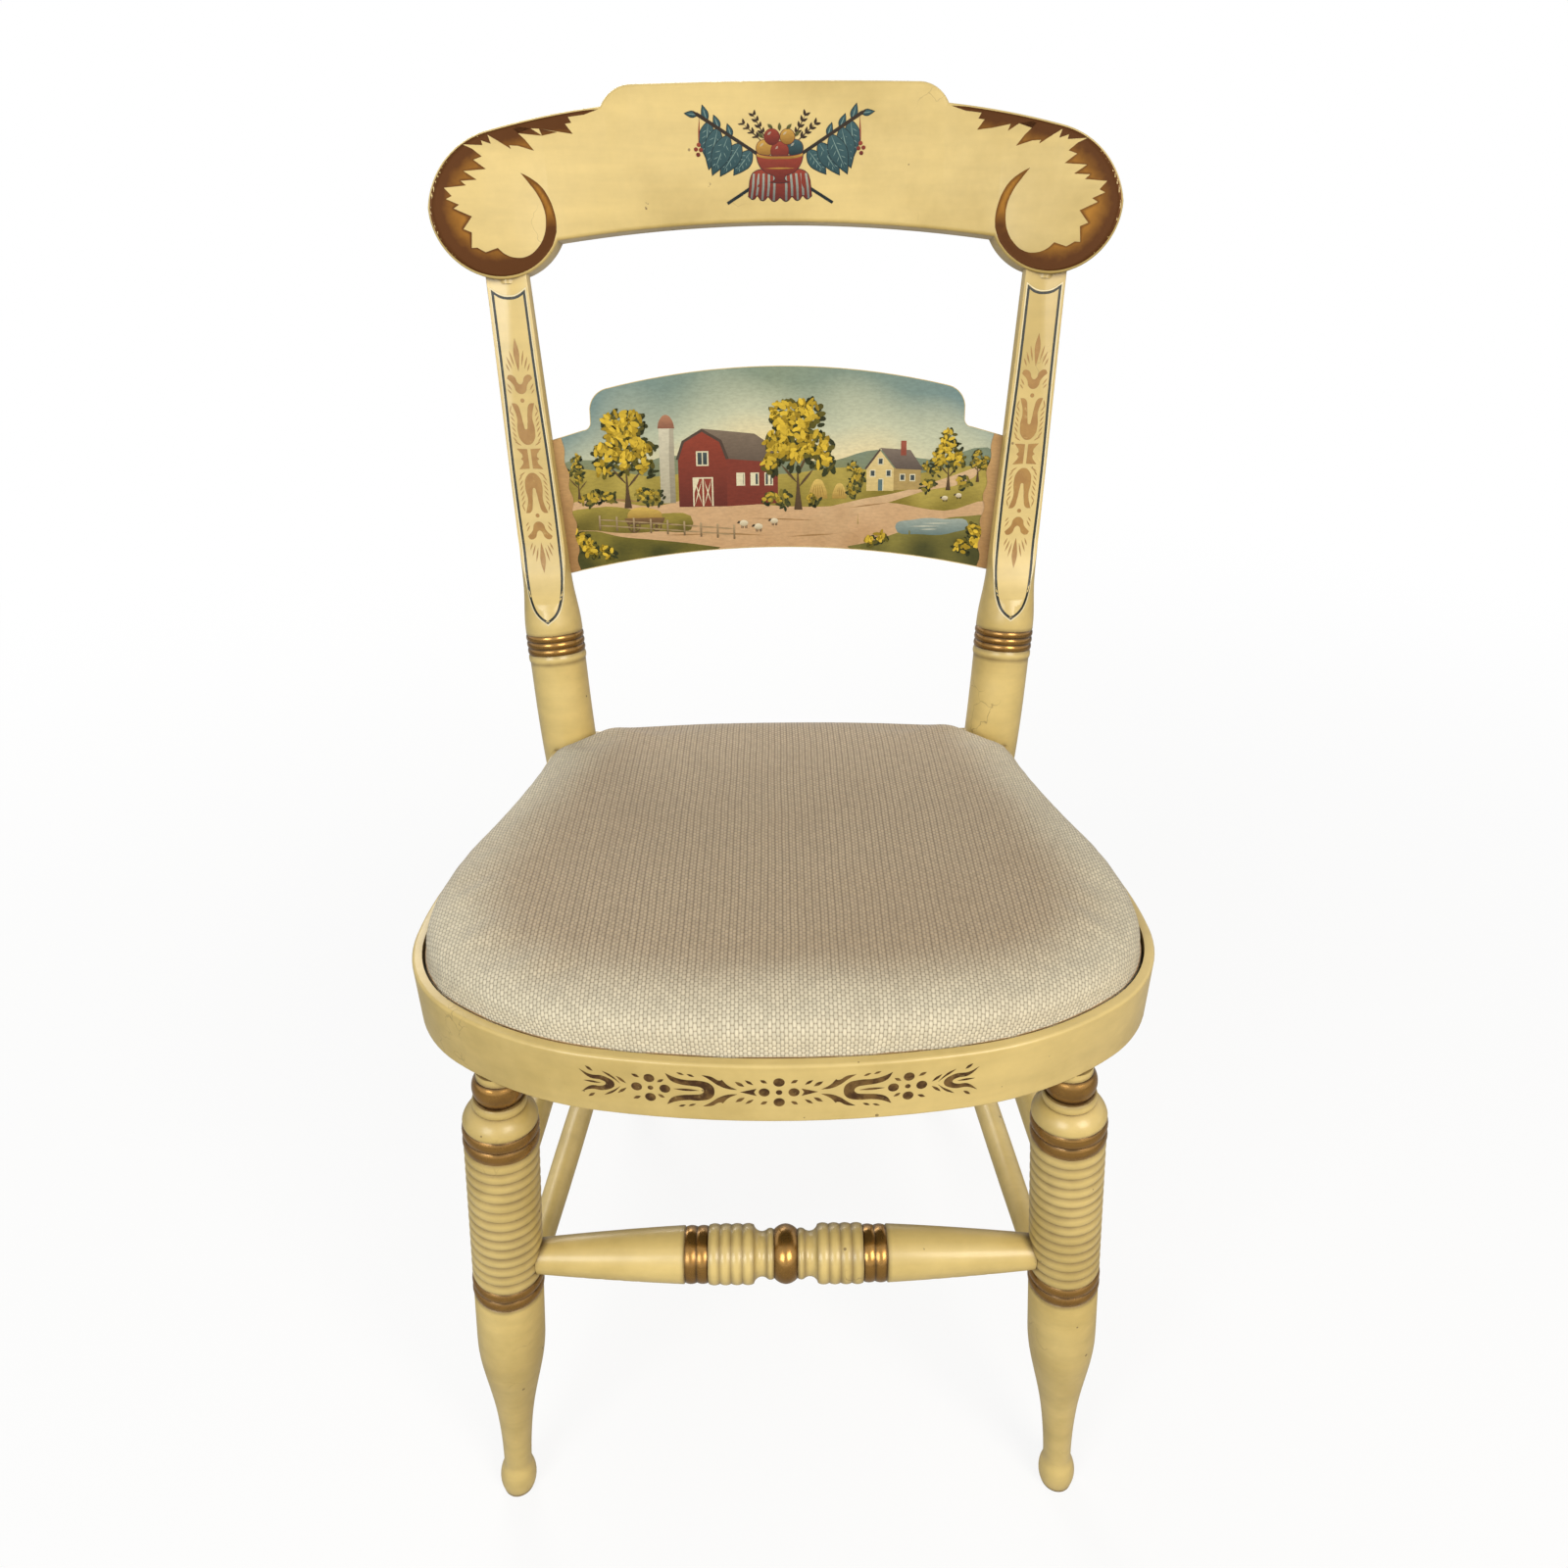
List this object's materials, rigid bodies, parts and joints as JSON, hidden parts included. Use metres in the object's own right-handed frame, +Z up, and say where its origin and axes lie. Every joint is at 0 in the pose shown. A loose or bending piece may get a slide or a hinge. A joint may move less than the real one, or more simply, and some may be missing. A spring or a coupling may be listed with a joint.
{
  "type": "side chair",
  "caption": "Painted wooden side chair with a bent seat hoop, drop-in seat, turned legs and stretcher, raked posts, bent slat and a yoke crest with stenciled ornament.",
  "frame": {"origin": "on the floor, under the middle of the overall width and depth", "axes": "+Z up, +X towards the sitter's left, -Y the way the sitter faces"},
  "size_m": [0.465, 0.4876, 0.8769],
  "materials": {
    "rail_paint": "aged cream paint with a bronze stencil on the front",
    "crest_paint": "aged cream paint with a painted trophy and bronze ears",
    "slat_paint": "painted landscape on aged cream paint",
    "stretcher_paint": "aged cream paint with a bronze ball and beads",
    "plain_paint": "aged cream paint",
    "leg_paint": "aged cream paint with bronze bands and a bronze ball",
    "post_paint": "aged cream paint with a tan stencil and a dark line",
    "seat_board": "bare plywood",
    "seat_foam": "foam",
    "seat_cloth": "beige ribbed cloth",
    "dust_cloth": "thin black cloth",
    "screw_steel": "plain",
    "bare_wood": "bare hardwood"
  },
  "bodies": {
    "root": {"back_corner_block_left": "bare_wood", "back_corner_block_right": "bare_wood", "back_post_left": "post_paint", "back_post_right": "post_paint", "back_rail": "rail_paint", "back_slat": "slat_paint", "crest_rail": "crest_paint", "dust_cover": "dust_cloth", "front_corner_block_left": "bare_wood", "front_corner_block_right": "bare_wood", "front_leg_left": "leg_paint", "front_leg_right": "leg_paint", "front_stretcher": "stretcher_paint", "lower_side_stretcher_left": "plain_paint", "lower_side_stretcher_right": "plain_paint", "rear_stretcher": "plain_paint", "seat_board": "seat_board", "seat_cover": "seat_cloth", "seat_hoop": "rail_paint", "seat_pad": "seat_foam", "seat_screws": "screw_steel", "upper_side_stretcher_left": "plain_paint", "upper_side_stretcher_right": "plain_paint"}
  },
  "joints": []
}
